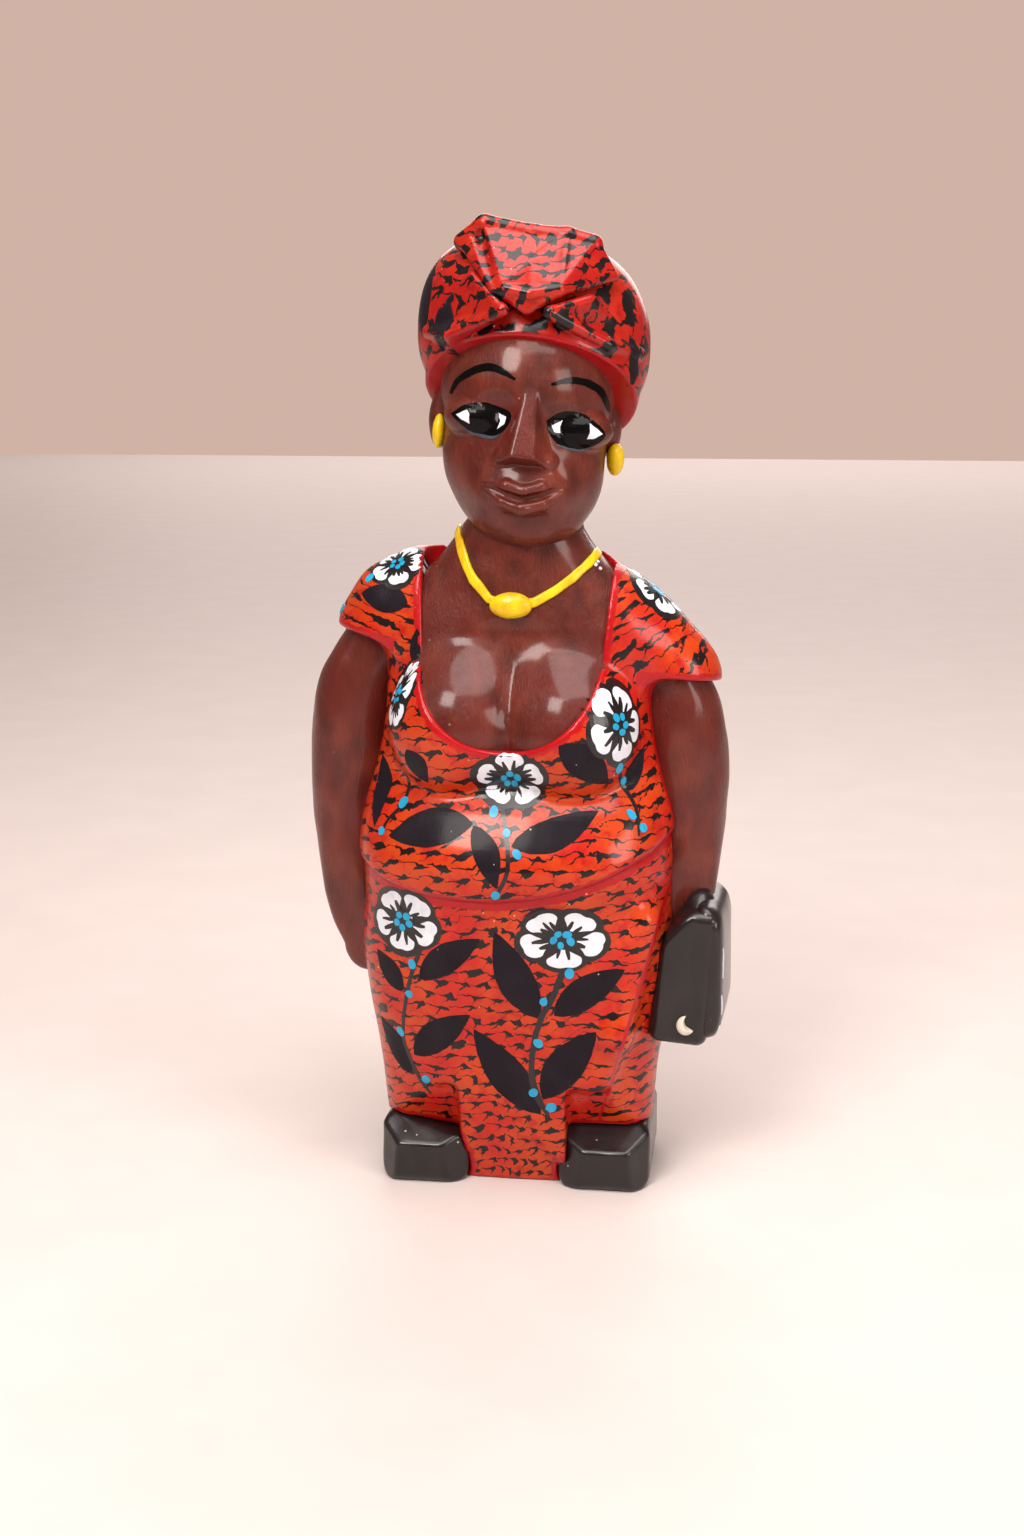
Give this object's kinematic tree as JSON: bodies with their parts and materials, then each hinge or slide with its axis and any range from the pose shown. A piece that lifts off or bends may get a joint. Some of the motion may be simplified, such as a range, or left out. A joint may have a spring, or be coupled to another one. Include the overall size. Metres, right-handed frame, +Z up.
{
  "type": "carved figurine",
  "caption": "Free-standing carved and painted wooden figure of a stout woman in a printed dress and knotted headwrap, with a handbag on one arm.",
  "frame": {"origin": "centre of the overall bounding box, on the plane the soles stand on", "axes": "+Z up through the headwrap, the figure faces -Y, +X towards the figure's own left side and the handbag"},
  "size_m": [0.0996, 0.0567, 0.22],
  "materials": {
    "dress_paint": "painted red with black strokes, white flowers and dark leaves under gloss varnish",
    "skin_paint": "painted dark reddish brown under gloss varnish, tool marks showing",
    "black_paint": "painted black under gloss varnish",
    "yellow_paint": "thick yellow paint",
    "cream_paint": "thick cream paint"
  },
  "bodies": {
    "root": {"skirt": "dress_paint", "bodice": "dress_paint", "chest": "skin_paint", "head": "skin_paint", "wrap_band": "dress_paint", "wrap_crown": "dress_paint", "wrap_knot": "dress_paint", "right_sleeve": "dress_paint", "left_sleeve": "dress_paint", "right_arm": "skin_paint", "left_arm": "skin_paint", "right_shoe": "black_paint", "left_shoe": "black_paint", "right_earring": "yellow_paint", "left_earring": "yellow_paint", "necklace": "yellow_paint", "pendant": "yellow_paint", "choker": "yellow_paint", "handbag": "black_paint", "handbag_flap": "black_paint", "handbag_strap": "black_paint", "handbag_clasp": "cream_paint"}
  },
  "joints": []
}
